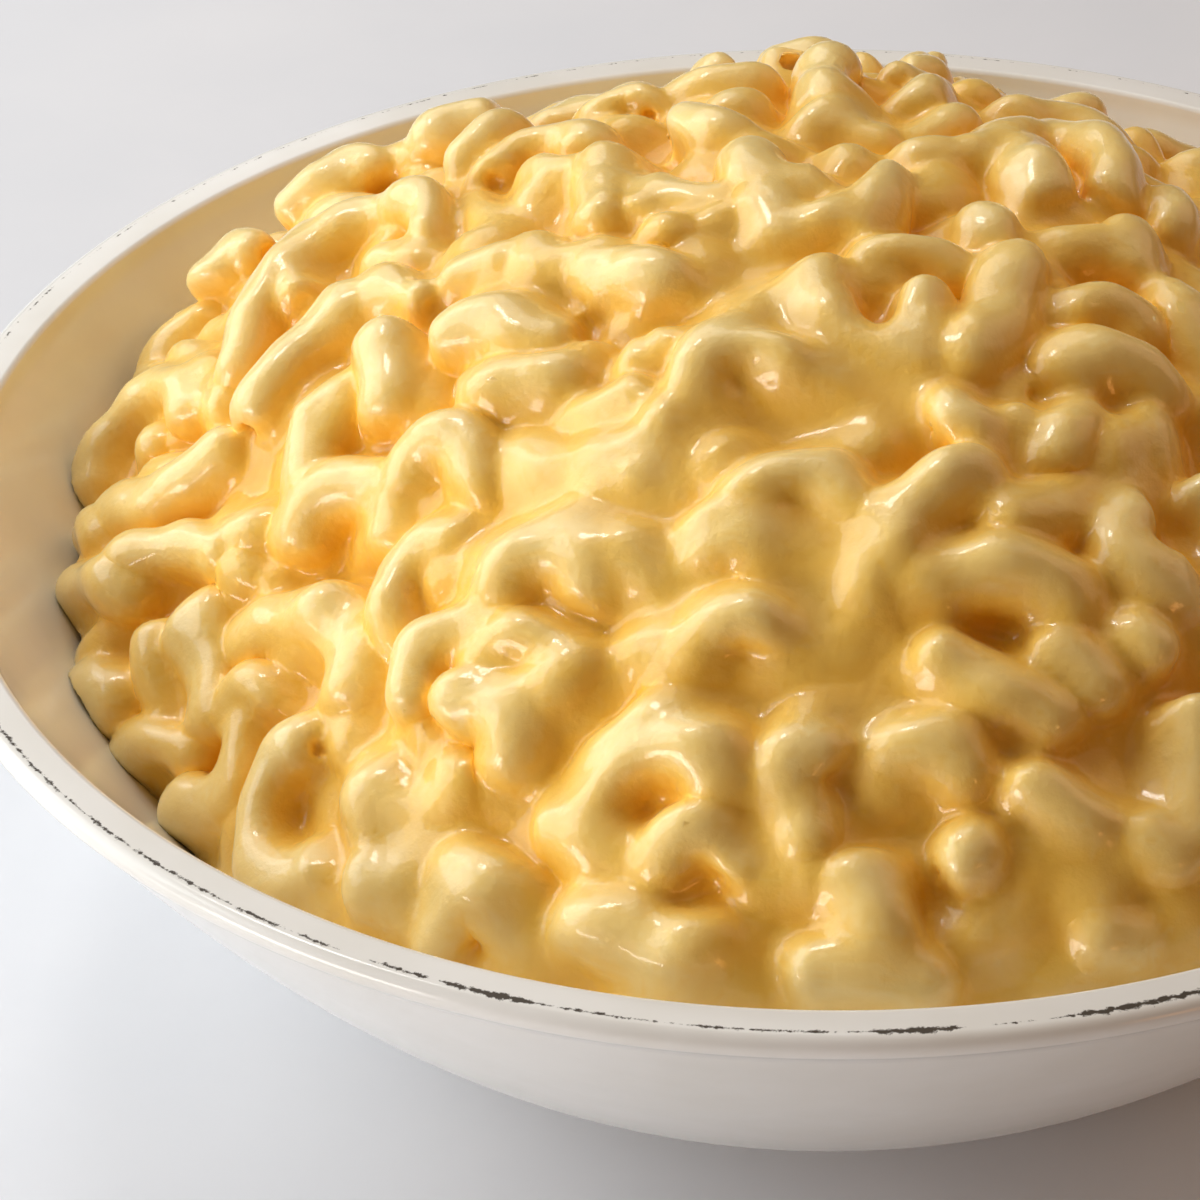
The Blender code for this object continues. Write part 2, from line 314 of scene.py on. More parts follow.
def core_outline():
    """The core's half outline: it fills the bowl up to a level top, just inside the macaroni."""
    bed = []
    for point in offset_left(outer_wall(40), WALL):
        if point.y < CORE_TOP - 1:
            bed.append(Vector((point.x - CORE_GAP, point.y + CORE_GAP)))
    top = [Vector((0, CORE_TOP)), Vector((bed[-1].x, CORE_TOP))]
    return top + bed[::-1] + [Vector((0, bed[0].y))]


INSIDE = offset_left(outer_wall(40), WALL)
INSIDE_RADII = np.array([point.x for point in INSIDE])
INSIDE_HEIGHTS = np.array([point.y for point in INSIDE])


def wall_radius(height):
    """Radius of the inside of the wall at that height."""
    return np.interp(height, INSIDE_HEIGHTS, INSIDE_RADII)


def edge_height(angle):
    """Height at which the food's edge meets the glaze, smoothly joined between the listed places."""
    count = len(EDGE_BELOW_RIM)
    depth = np.array(EDGE_BELOW_RIM, float)
    place = (angle / math.tau * count) % count
    index = np.floor(place).astype(int)
    blend = (1 - np.cos(np.pi * (place - index))) / 2
    here, there = depth[index % count], depth[(index + 1) % count]
    return RIM_HEIGHT - (here + (there - here) * blend)


def dome_height(x, y):
    """Height of the heap without its relief."""
    edge = edge_height(np.arctan2(y, x))
    share = np.hypot(x, y) / wall_radius(edge)
    inside = edge + (RIM_HEIGHT + DOME_TOP - edge) * (1 - np.minimum(share, 1) ** DOME_POWER)
    return inside - np.maximum(share - 1, 0) * DOME_FALL


# ---------------------------------------------------------------- sauce
def hill(x, y, middle_x, middle_y, half_x, half_y, turn):
    """A smooth hill of height 1, turned by that many degrees."""
    cosine, sine = math.cos(math.radians(turn)), math.sin(math.radians(turn))
    u = (x - middle_x) * cosine + (y - middle_y) * sine
    v = -(x - middle_x) * sine + (y - middle_y) * cosine
    return np.exp(-((u / half_x) ** 2) - (v / half_y) ** 2)


def pool_depth(x, y):
    """How far the sauce stands above its common level."""
    return sum(rise * hill(x, y, *place) for *place, rise in POOLS)


def sauce_level(x, y):
    """Height of the sauce above the dome."""
    ripple = (
        np.sin(0.31 * x + 0.13 * y + 1.0) + np.sin(-0.11 * x + 0.29 * y) + np.sin(0.23 * x - 0.27 * y + 2.0)
    )
    return SAUCE_LEVEL + pool_depth(x, y) + RIPPLE * ripple


def blend_radius(x, y):
    """How softly neighbouring elbows run together: more in the pools."""
    return BLEND + POOL_BLEND * np.clip(pool_depth(x, y), -1.5, 3)


def out_of_sauce(x, y):
    """True on the left and towards the back, where more macaroni than sauce shows."""
    return (x < -48 or y > 8) and pool_depth(x, y) < 1.2


def out_of_view(x, y):
    """True behind and to the right of the elbows that are laid one by one."""
    return y > 48 or x > 52


# ---------------------------------------------------------------- macaroni
class Elbow:
    """A bent tube: a round section along an arc through start, middle and end, with a hole in each end."""

    def __init__(self, start, middle, end, tube, hole, depths):
        start, middle, end = (np.array(point, float) for point in (start, middle, end))
        u, v = middle - start, end - start
        normal = np.cross(u, v)
        size = normal @ normal
        self.centre = start + (np.cross(normal, u) * (v @ v) + np.cross(v, normal) * (u @ u)) / (2 * size)
        self.radius = np.linalg.norm(start - self.centre)
        self.normal = normal / math.sqrt(size)
        first = (start - self.centre) / self.radius
        second = np.cross(self.normal, first)
        self.half = (math.atan2((end - self.centre) @ second, (end - self.centre) @ first) % math.tau) / 2
        self.out = math.cos(self.half) * first + math.sin(self.half) * second
        self.along = np.cross(self.normal, self.out)
        self.tube, self.hole, self.depths = tube, hole, depths

    def spine(self, count=15):
        """Points along the middle line."""
        angles = np.linspace(-self.half, self.half, count)
        return self.centre + self.radius * (
            np.cos(angles)[:, None] * self.out + np.sin(angles)[:, None] * self.along
        )

    def distance(self, x, y, z):
        """Signed distance to the tube with rounded, hollow ends."""
        px, py, pz = x - self.centre[0], y - self.centre[1], z - self.centre[2]
        u = px * self.out[0] + py * self.out[1] + pz * self.out[2]
        v = px * self.along[0] + py * self.along[1] + pz * self.along[2]
        w = px * self.normal[0] + py * self.normal[1] + pz * self.normal[2]
        reach = np.hypot(u, v)
        past = np.abs(np.arctan2(v, u)) - self.half
        between = past <= 0
        off_arc = np.hypot(reach - self.radius, w)
        off_axis = np.hypot(reach * np.cos(past) - self.radius, w)
        off_line = np.where(between, off_arc, off_axis)
        past_end = np.where(between, self.radius * past, reach * np.sin(past))
        past_end = np.where(past > math.pi / 2, reach, past_end)
        edge = END_ROUNDING * self.tube
        body = (
            np.hypot(np.maximum(off_line - self.tube + edge, 0), np.maximum(past_end + edge, 0))
            + np.minimum(np.maximum(off_line - self.tube + edge, past_end + edge), 0)
            - edge
        )
        depth = np.where(v > 0, self.depths[1], self.depths[0])
        hollow = np.maximum(off_line - self.hole, -(past_end + depth))
        near = np.maximum(HOLE_ROUNDING - np.abs(body + hollow), 0) / HOLE_ROUNDING
        return np.maximum(body, -hollow) + near * near * HOLE_ROUNDING / 4


def on_dome(point):
    """The point's place, from (x, y, height above the dome)."""
    x, y, height = point
    return np.array([x, y, float(dome_height(x, y)) + height - SINK])


def elbow_axes(x, y, heading, stand):
    """The outward, lengthwise and upward axes of an elbow on the dome, stood up from its skin by an angle."""
    step = 3.0
    slope_x = (dome_height(x + step, y) - dome_height(x - step, y)) / (2 * step)
    slope_y = (dome_height(x, y + step) - dome_height(x, y - step)) / (2 * step)
    up = np.array([-float(slope_x), -float(slope_y), 1.0])
    up /= np.linalg.norm(up)
    flat = np.array([math.cos(heading), math.sin(heading), 0.0])
    flat -= up * np.dot(flat, up)
    flat /= np.linalg.norm(flat)
    along = np.cross(up, flat)
    out = flat * math.cos(stand) + up * math.sin(stand)
    return out, along, up


class Pile:
    """Elbows strewn over the dome, each put where it fits best among those already there."""

    SPINE_POINTS = 11
    SPREAD = 112  # radius inside which the elbows' middles lie
    NEIGHBOURHOOD = 34  # elbows further apart than this can't touch
    ALONE = 9.0  # the clearance of an elbow with no other in its neighbourhood
    FLAT_SHARE = 0.35  # of the elbows lie flat, and the others stand up to either side

    def __init__(self, source):
        self.source = source
        self.elbows = []
        self.spines = np.zeros((0, self.SPINE_POINTS, 3))
        self.tubes = np.zeros(0)

    def add(self, elbow):
        """Adds the elbow, and notes where it lies."""
        self.elbows.append(elbow)
        self.spines = np.concatenate([self.spines, elbow.spine(self.SPINE_POINTS)[None]])
        self.tubes = np.append(self.tubes, elbow.tube)

    def random_depths(self):
        """Depths of the holes in an elbow's two ends."""
        return self.source.choice(END_DEPTHS), self.source.choice(END_DEPTHS)

    def lay(self, rows):
        """Adds the listed elbows, slimmer where a soft blend with their neighbours swells them."""
        for start, middle, end, tube in rows:
            depths = self.random_depths()
            swell = 0.45 - 0.6 * float(blend_radius(middle[0], middle[1]))
            points = (on_dome(point) for point in (start, middle, end))
            self.add(Elbow(*points, tube + swell, HOLE_SHARE * tube, depths))

    def clearance(self, elbow):
        """Gap between the elbow's side and the nearest other's, under 0 where they press together."""
        spine = elbow.spine(self.SPINE_POINTS)
        near = np.linalg.norm(self.spines.mean(1) - spine.mean(0), axis=1) < self.NEIGHBOURHOOD
        if not near.any():
            return self.ALONE
        others = self.spines[near].reshape(-1, 3)
        squares = (spine**2).sum(1)[:, None] + (others**2).sum(1) - 2 * spine @ others.T
        gaps = np.sqrt(np.maximum(squares.min(0), 0)).reshape(-1, self.SPINE_POINTS).min(1)
        return float((gaps - self.tubes[near] - elbow.tube).min())

    def candidate(self, low, high, place_ok):
        """A random elbow whose middle lies low to high above the dome, or None where it may not lie."""
        source = self.source
        radius = self.SPREAD * math.sqrt(source.random())
        angle = source.uniform(0, math.tau)
        x, y = radius * math.cos(angle), radius * math.sin(angle)
        if not place_ok(x, y):
            return None
        flat = source.random() < self.FLAT_SHARE
        stand = source.gauss(0, 12) if flat else source.choice((-1, 1)) * source.uniform(20, 90)
        out, along, up = elbow_axes(x, y, source.uniform(0, math.tau), math.radians(stand))
        bend = BEND * source.uniform(0.8, 1.15)
        half = math.radians(source.uniform(25, 80))
        tube = TUBE * source.uniform(0.8, 1.1)
        depths = self.random_depths()
        place = np.array([x, y, float(dome_height(x, y))])
        place += up * source.uniform(low, high)
        centre = place - out * bend * math.sin(half) / half
        start, end = (
            centre + bend * (math.cos(half) * out + side * math.sin(half) * along) for side in (-1, 1)
        )
        return Elbow(start, centre + bend * out, end, tube, HOLE, depths)

    def fits_bowl(self, elbow):
        """True where the elbow stays inside the glaze, or lies above the rim."""
        spine = elbow.spine(self.SPINE_POINTS)
        out = np.hypot(spine[:, 0], spine[:, 1]) > wall_radius(spine[:, 2]) - elbow.tube * 0.85
        return not (out & (spine[:, 2] < RIM_HEIGHT + 4)).any()

    def strew(self, tries, choices, low, high, squeeze, place_ok=lambda x, y: True):
        """Adds up to tries elbows, each the closest to its neighbours among so many random choices.

        Their middles lie low to high above the dome, and they press into each other by squeeze at most.
        """
        for _ in range(tries):
            best, room = None, math.inf
            for _ in range(choices):
                elbow = self.candidate(low, high, place_ok)
                if elbow is None or not self.fits_bowl(elbow):
                    continue
                gap = self.clearance(elbow)
                if -squeeze <= gap < room:
                    best, room = elbow, gap
            if best is not None:
                self.add(best)


def all_elbows():
    """The elbows that show, and others deeper down that show between them."""
    pile = Pile(random.Random(SEED))
    pile.lay(ELBOWS)
    pile.strew(tries=150, choices=80, low=-3.2, high=-0.2, squeeze=0.9, place_ok=out_of_view)
    pile.strew(tries=130, choices=90, low=-3.8, high=-1.2, squeeze=1.0, place_ok=out_of_sauce)
    under = Pile(random.Random(SEED + 1))
    under.strew(tries=300, choices=70, low=-5.8, high=-3.0, squeeze=1.6)
    return pile.elbows + under.elbows


# ---------------------------------------------------------------- the heap's mesh
class Field:
    """Signed distances to the macaroni and its sauce, on a grid."""

    def __init__(self):
        self.low = np.array([-RIM_RADIUS, -RIM_RADIUS, FIELD_BOTTOM])
        high = np.array([RIM_RADIUS, RIM_RADIUS, RIM_HEIGHT + DOME_TOP + FIELD_HEADROOM])
        counts = np.ceil((high - self.low) / VOXEL).astype(int)
        self.axes = [self.low[k] + VOXEL * np.arange(counts[k]) for k in range(3)]
        self.shape = tuple(counts)
        self.x, self.y = np.meshgrid(self.axes[0], self.axes[1], indexing="ij")
        self.x = self.x.astype(np.float32)
        self.y = self.y.astype(np.float32)
        self.sum = np.zeros(self.shape, np.float32)
        self.blend = blend_radius(self.x, self.y).astype(np.float32)

    def add(self, elbow):
        """Adds the elbow to a sum of exponentials, whose logarithm is a smooth union."""
        spine = elbow.spine()
        low = spine.min(0) - elbow.tube - FIELD_REACH
        high = spine.max(0) + elbow.tube + FIELD_REACH
        cut = []
        for k in range(3):
            first = max(int((low[k] - self.low[k]) / VOXEL), 0)
            last = min(int((high[k] - self.low[k]) / VOXEL) + 2, self.shape[k])
            cut.append(slice(first, last))
        x = self.axes[0][cut[0]].astype(np.float32)[:, None, None]
        y = self.axes[1][cut[1]].astype(np.float32)[None, :, None]
        z = self.axes[2][cut[2]].astype(np.float32)[None, None, :]
        distance = elbow.distance(x, y, z)
        blend = self.blend[cut[0], cut[1]][..., None]
        fade = np.clip(1 - distance / FIELD_REACH, 0, 1)
        self.sum[tuple(cut)] += np.exp(-np.maximum(distance, -4) / blend) * fade * fade

    def finish(self):
        """The distances, with the coat and the sauce joined on, cut off at the glaze and under the sauce."""
        distance = -self.blend[..., None] * np.log(np.maximum(self.sum, 1e-9)) - COAT
        distance = np.minimum(distance, FIELD_FAR)
        level = (dome_height(self.x, self.y) + sauce_level(self.x, self.y)).astype(np.float32)
        slope_x, slope_y = np.gradient(level, VOXEL)
        lean = 1 / np.sqrt(1 + slope_x * slope_x + slope_y * slope_y)
        z = self.axes[2].astype(np.float32)[None, None, :]
        sauce = (z - level[..., None]) * lean[..., None]
        width = (3.0 + 3.5 * self.blend)[..., None]
        near = np.maximum(width - np.abs(distance - sauce), 0) / width
        distance = np.minimum(distance, sauce) - near * near * width / 4
        wall = np.hypot(self.x, self.y)[..., None] - wall_radius(z) - OVERLAP
        wall = np.where(z > RIM_HEIGHT - 2, np.minimum(wall, FIELD_FAR), wall)
        distance = np.where(z < RIM_HEIGHT - 1, np.maximum(distance, wall), distance)
        return np.maximum(distance, SKIN_BOTTOM - z)


def mesh_from_field(name, field, distances):
    """A mesh of four-sided faces along the field's surface."""
    grid = openvdb.FloatGrid(3.0)
    grid.copyFromArray(np.ascontiguousarray(np.clip(distances, -3, 3), np.float32))
    points, _, quads = grid.convertToPolygons(0.0, 0.0)
    mesh = bpy.data.meshes.new(name)
    mesh.vertices.add(len(points))
    mesh.vertices.foreach_set("co", ((points * VOXEL + field.low) * MM).astype(np.float32).ravel())
    mesh.loops.add(len(quads) * 4)
    mesh.loops.foreach_set("vertex_index", quads.astype(np.int32).ravel())
    mesh.polygons.add(len(quads))
    mesh.polygons.foreach_set("loop_start", np.arange(len(quads), dtype=np.int32) * 4)
    mesh.update(calc_edges=True)
    return mesh


def thinned(mesh, triangles):
    """The mesh with its flattest places simplified, down to that many triangles."""
    carrier = bpy.data.objects.new("carrier", mesh)
    bpy.context.scene.collection.objects.link(carrier)
    modifier = carrier.modifiers.new("thin", "DECIMATE")
    modifier.ratio = min(1.0, triangles / (2 * len(mesh.polygons)))
    depsgraph = bpy.context.evaluated_depsgraph_get()
    thin = bpy.data.meshes.new_from_object(carrier.evaluated_get(depsgraph))
    name = mesh.name
    bpy.data.objects.remove(carrier)
    bpy.data.meshes.remove(mesh)
    thin.name = name
    return thin


def drop_crumbs(mesh):
    """Keeps only the mesh's biggest connected part."""
    count = len(mesh.vertices)
    edges = np.empty(len(mesh.edges) * 2, np.int32)
    mesh.edges.foreach_get("vertices", edges)
    first, second = edges.reshape(-1, 2).T
    part = np.arange(count)
    while True:
        lower = np.minimum(part[first], part[second])
        joined = part.copy()
        np.minimum.at(joined, first, lower)
        np.minimum.at(joined, second, lower)
        joined = joined[joined]
        if (joined == part).all():
            break
        part = joined
    biggest = np.bincount(part).argmax()
    shape = bmesh.new()
    shape.from_mesh(mesh)
    crumbs = [vertex for vertex in shape.verts if part[vertex.index] != biggest]
    bmesh.ops.delete(shape, geom=crumbs, context="VERTS")
    shape.to_mesh(mesh)
    shape.free()


def read_points(mesh, attribute="co"):
    """The vertices' places, or another vector of theirs, as rows."""
    values = np.empty(len(mesh.vertices) * 3, np.float32)
    mesh.vertices.foreach_get(attribute, values)
    return values.reshape(-1, 3)


def write_points(mesh, points):
    """Moves the vertices to those places."""
    mesh.vertices.foreach_set("co", points.astype(np.float32).ravel())
    mesh.update()


def blurred(values, width):
    """Box blur, twice over, along each axis of a grid."""
    for axis in range(3):
        last = values.shape[axis] - 1
        for _ in range(2):
            sums = np.cumsum(values, axis, dtype=np.float64)
            ahead = np.take(sums, np.minimum(np.arange(last + 1) + width, last), axis)
            behind = np.take(sums, np.maximum(np.arange(last + 1) - width - 1, 0), axis)
            values = ((ahead - behind) / (2 * width + 1)).astype(np.float32)
    return values


def mark_openness(mesh, field, distances, name, reach):
    """Stores how open the space round each point is: 0.5 on a plain, more on a ridge, less in a hollow."""
    solid = np.clip(0.5 - distances / VOXEL, 0, 1)
    space = 1 - blurred(solid, max(int(round(reach / VOXEL)), 1))
    cells = np.rint((read_points(mesh) / MM - field.low) / VOXEL).astype(int)
    cells = np.clip(cells, 0, np.array(field.shape) - 1)
    attribute = mesh.attributes.new(name, "FLOAT", "POINT")
    attribute.data.foreach_set("value", space[cells[:, 0], cells[:, 1], cells[:, 2]].astype(np.float32))


def uneven_waves(source, points, count, shortest, longest):
    """Sines of random waves that run every way, one row for each point, and the waves' lengths."""
    directions = source.normal(size=(count, 3))
    directions /= np.linalg.norm(directions, axis=1, keepdims=True)
    lengths = source.uniform(shortest, longest, count)
    phases = source.uniform(0, math.tau, count)
    return np.sin(points / MM @ (directions * (math.tau / lengths)[:, None]).T + phases), lengths


def warp(mesh, reach, count=24):
    """Bends and swells the forms unevenly, as soft macaroni under thick sauce, but not along the glaze."""
    source = np.random.default_rng(SEED + 1)
    points = read_points(mesh)
    sines, lengths = uneven_waves(source, points, count, 14, 32)
    swings = source.normal(size=(count, 3)) * (lengths / 23)[:, None]  # longer waves reach further
    moves = sines @ swings
    moves *= reach / math.sqrt(count / 2)
    gap = wall_radius(points[:, 2] / MM) - np.hypot(points[:, 0], points[:, 1]) / MM
    write_points(mesh, points + moves * np.clip(gap / 6, 0, 1)[:, None] * MM)


def roughen(mesh, height, count=48):
    """Moves the surface in and out by uneven lumps, as sauce of uneven thickness does."""
    source = np.random.default_rng(SEED)
    points = read_points(mesh)
    sines, lengths = uneven_waves(source, points, count, 7.0, 17.0)
    lumps = sines @ (lengths / 9.0) / math.sqrt(count / 2)  # longer waves are higher
    write_points(mesh, points + read_points(mesh, "normal") * (lumps * height * MM)[:, None])


def macaroni_mesh():
    """The skin of the heap: elbows in sauce, with how open each place is stored for the material's painted
    shade and light.
    """
    field = Field()
    for elbow in all_elbows():
        field.add(elbow)
    distances = field.finish()
    mesh = thinned(mesh_from_field("macaroni", field, distances), HEAP_TRIANGLES)
    drop_crumbs(mesh)
    mark_openness(mesh, field, distances, "open", reach=3.0)
    mark_openness(mesh, field, distances, "wide", reach=7.0)
    warp(mesh, reach=0.4)
    roughen(mesh, height=0.35)
    return mesh


def turned(name, outline, sides):
    """A closed solid: the outline, from the axis out and back to the axis, turned round."""
    rings = outline[1:-1]
    vertices = [(0, 0, outline[0].y * MM), (0, 0, outline[-1].y * MM)]
    for point in rings:
        for side in range(sides):
            angle = math.tau * side / sides
            vertices.append((point.x * math.cos(angle) * MM, point.x * math.sin(angle) * MM, point.y * MM))
    faces = []
    last = 2 + (len(rings) - 1) * sides
    for side in range(sides):
        after = (side + 1) % sides
        faces.append((0, 2 + side, 2 + after))
        faces.append((1, last + after, last + side))
        for ring in range(len(rings) - 1):
            here = 2 + ring * sides
            faces.append((here + side, here + sides + side, here + sides + after, here + after))
    mesh = bpy.data.meshes.new(name)
    mesh.from_pydata(vertices, [], faces)
    return mesh


# ---------------------------------------------------------------- materials
def new_material(name):
    """A material, its node tree and its shader."""
    material = bpy.data.materials.new(name)
    material.use_nodes = True
    return material, material.node_tree, material.node_tree.nodes["Principled BSDF"]


def add_node(tree, kind, **values):
    """A node with those values on its inputs."""
    made = tree.nodes.new(kind)
    for name, value in values.items():
        made.inputs[name].default_value = value
    return made


def add_noise(tree, **values):
    """Noise in the object's own coordinates."""
    noise = add_node(tree, "ShaderNodeTexNoise", **values)
    coordinates = tree.nodes.new("ShaderNodeTexCoord")
    tree.links.new(coordinates.outputs["Object"], noise.inputs["Vector"])
    return noise.outputs["Fac"]


def add_math(tree, operation, *inputs):
    """A math node on those numbers and sockets."""
    made = tree.nodes.new("ShaderNodeMath")
    made.operation = operation
    for index, value in enumerate(inputs):
        if isinstance(value, (int, float)):
            made.inputs[index].default_value = value
        else:
            tree.links.new(value, made.inputs[index])
    return made.outputs[0]


def add_ramp(tree, factor, *stops):
    """A colour ramp through (position, colour) stops."""
    ramp = tree.nodes.new("ShaderNodeValToRGB")
    elements = ramp.color_ramp.elements
    for index, (position, colour) in enumerate(stops):
        stop = elements[index] if index < 2 else elements.new(position)
        stop.position = position
        stop.color = (*colour, 1)
    tree.links.new(factor, ramp.inputs["Fac"])
    return ramp.outputs["Color"]


def add_range(tree, value, from_min=0.0, from_max=1.0, to_min=0.0, to_max=1.0):
    """A node that maps one range of numbers to another."""
    mapped = tree.nodes.new("ShaderNodeMapRange")
    mapped.inputs["From Min"].default_value = from_min
    mapped.inputs["From Max"].default_value = from_max
    mapped.inputs["To Min"].default_value = to_min
    mapped.inputs["To Max"].default_value = to_max
    tree.links.new(value, mapped.inputs["Value"])
    return mapped


def add_bump(tree, shader, height, strength, distance):
    """Fine relief on the shader, distance metres deep."""
    bump = add_node(tree, "ShaderNodeBump", Strength=strength, Distance=distance)
    tree.links.new(height, bump.inputs["Height"])
    tree.links.new(bump.outputs["Normal"], shader.inputs["Normal"])


def cheese_material():
    """Glossy cheese sauce with painted shade and light: deeper and more orange in the hollows, where shade
    falls, and paler on the ridges, where light falls; glossier on the ridges.
    """
    material, tree, shader = new_material("cheese_sauce")
    shader.subsurface_method = "BURLEY"
    near = tree.nodes.new("ShaderNodeAttribute")
    near.attribute_name = "open"
    wide = tree.nodes.new("ShaderNodeAttribute")
    wide.attribute_name = "wide"
    nearby = add_math(tree, "MULTIPLY", near.outputs["Fac"], 0.35)
    openness = add_math(tree, "MULTIPLY_ADD", wide.outputs["Fac"], 0.65, nearby)
    # Painted shade and light: the hollow colour darkens the creases where shade falls, and the ridge colour
    # is paler where light falls, mixed by how open each place is.
    hollow, plain, ridge_painted_light = (0.87, 0.455, 0.02), (0.955, 0.595, 0.10), (0.985, 0.755, 0.30)
    colour = add_ramp(tree, openness, (0.32, hollow), (0.70, ridge_painted_light), (0.51, plain))
    tree.links.new(colour, shader.inputs["Base Color"])
    roughness = add_range(tree, openness, from_min=0.3, from_max=0.6, to_min=0.7, to_max=0.38)
    tree.links.new(roughness.outputs["Result"], shader.inputs["Roughness"])
    grain = add_noise(tree, Scale=650.0, Detail=4.0, Roughness=0.55)
    add_bump(tree, shader, grain, strength=0.35, distance=0.0005)
    shader.inputs["Specular IOR Level"].default_value = 0.5
    shader.inputs["Sheen Weight"].default_value = 0.1
    shader.inputs["Sheen Roughness"].default_value = 0.4
    shader.inputs["Subsurface Weight"].default_value = 1.0
    shader.inputs["Subsurface Radius"].default_value = (1.0, 0.9, 0.7)
    shader.inputs["Subsurface Scale"].default_value = 0.002
    shader.inputs["Coat Weight"].default_value = 0.6
    shader.inputs["Coat Roughness"].default_value = 0.08
    return material


# How worn the bead's crest is, by the angle round from -X through -Y, in degrees, up to 1.
WORN = [
    (0, 0.0), (10, 0.5), (60, 0.5), (65, 0.0), (66, 0.7), (68, 0.5), (68.6, 0.0), (70, 0.9), (72.3, 0.8),
    (72.6, 0.3), (73, 1.0), (75.2, 0.9), (75.8, 0.0), (76.3, 0.5), (80.5, 0.45), (81, 0.0), (82, 0.8),
    (82.8, 0.1), (83.4, 0.7), (85, 0.6), (86, 0.2), (87.5, 0.6), (92, 0.3), (94.5, 0.95), (97.8, 0.9),
    (98.4, 0.2), (103.5, 0.25), (104.2, 0.9), (112, 1.0), (125, 0.3), (160, 0.15),
]
WORN_LINE = 0.65  # half width of the worn line, in mm
WORN_INSET = 0.3  # how far inside the bead's middle its crest is worn, in mm
WORN_DEPTH = 0.8  # how far below the rim's top the wear reaches, in mm


def glaze_material():
    """Glossy white glaze, faintly uneven, worn through to dark clay in a thin broken line on the crest."""
    material, tree, shader = new_material("white_glaze")
    coordinates = tree.nodes.new("ShaderNodeTexCoord").outputs["Object"]
    split = tree.nodes.new("ShaderNodeSeparateXYZ")
    tree.links.new(coordinates, split.inputs[0])
    x, y, z = split.outputs
    squares = add_math(tree, "ADD", add_math(tree, "MULTIPLY", x, x), add_math(tree, "MULTIPLY", y, y))
    radius = add_math(tree, "SQRT", squares)
    around = add_math(tree, "MULTIPLY_ADD", add_math(tree, "ARCTAN2", y, x), 1 / math.tau, 0.5)
    worn = add_ramp(tree, around, *((angle / 360, (amount,) * 3) for angle, amount in WORN))
    ragged = add_noise(tree, Scale=800.0, Detail=4.0, Roughness=0.75)
    crest = (RIM_RADIUS - BEAD_RADIUS - WORN_INSET) * MM
    off_crest = add_math(tree, "ABSOLUTE", add_math(tree, "SUBTRACT", radius, crest))
    depth = add_math(tree, "SUBTRACT", worn, add_math(tree, "MULTIPLY", off_crest, 1 / (WORN_LINE * MM)))
    depth = add_math(tree, "ADD", depth, add_math(tree, "MULTIPLY_ADD", ragged, 3.0, -1.6))
    below_top = add_math(tree, "MULTIPLY_ADD", z, 1 / MM, WORN_DEPTH - RIM_HEIGHT)
    line = add_range(tree, add_math(tree, "MINIMUM", depth, below_top), from_max=0.45)
    line.interpolation_type = "SMOOTHSTEP"

    cloud = add_noise(tree, Scale=45.0, Detail=4.0, Roughness=0.55)
    white = add_ramp(tree, cloud, (0.35, (0.86, 0.85, 0.81)), (0.65, (0.91, 0.905, 0.88)))
    mix = tree.nodes.new("ShaderNodeMix")
    mix.data_type = "RGBA"
    mix.inputs["B"].default_value = (0.05, 0.036, 0.022, 1)
    tree.links.new(line.outputs["Result"], mix.inputs["Factor"])
    tree.links.new(white, mix.inputs["A"])
    tree.links.new(mix.outputs["Result"], shader.inputs["Base Color"])
    roughness = add_range(tree, line.outputs["Result"], to_min=0.16, to_max=0.6)
    tree.links.new(roughness.outputs["Result"], shader.inputs["Roughness"])
    waves = add_noise(tree, Scale=70.0, Detail=2.0, Roughness=0.5)
    add_bump(tree, shader, waves, strength=0.15, distance=0.0004)
    return material


def floor_material():
    """Pale, faintly blue, matt plaster with soft clouds in it."""
    material, tree, shader = new_material("pale_floor")
    clouds = add_noise(tree, Scale=14.0, Detail=5.0)
    colour = add_ramp(tree, clouds, (0.3, (0.74, 0.76, 0.81)), (0.7, (0.80, 0.81, 0.85)))
    tree.links.new(colour, shader.inputs["Base Color"])
    shader.inputs["Roughness"].default_value = 0.55
    return material


# ---------------------------------------------------------------- pieces
def add_piece(name, mesh, material):
    """A smooth visible piece."""
    piece = bpy.data.objects.new(name, mesh)
    mesh.materials.append(material)
    bpy.context.scene.collection.objects.link(piece)
    mesh.shade_smooth()
    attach(piece, "root")
    return piece


cheese = cheese_material()
heap = add_piece("macaroni", macaroni_mesh(), cheese)
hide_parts("macaroni_heap")

core = add_piece("macaroni_core", turned("macaroni_core", core_outline(), CORE_SIDES), cheese)
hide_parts("macaroni_heap")

bowl_mesh = turned("glazed_bowl", bowl_outline(), BOWL_SIDES)
bowl = add_piece("glazed_bowl", bowl_mesh, glaze_material())
bowl_mesh.set_sharp_from_angle(angle=math.radians(50))
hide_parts("bowl")


# ---------------------------------------------------------------- floor, camera, light
def add_floor(half_width):
    """A level square under the bowl, in metres."""
    mesh = bpy.data.meshes.new("floor")
    corners = [(x * half_width, y * half_width, 0) for x, y in ((-1, -1), (1, -1), (1, 1), (-1, 1))]
    mesh.from_pydata(corners, [], [(0, 1, 2, 3)])
    mesh.materials.append(floor_material())
    floor = bpy.data.objects.new("floor", mesh)
    bpy.context.scene.collection.objects.link(floor)


def swung(first, second, angle):
    """Two axes at right angles, turned from the first towards the second."""
    return (
        first * math.cos(angle) + second * math.sin(angle),
        second * math.cos(angle) - first * math.sin(angle),
    )


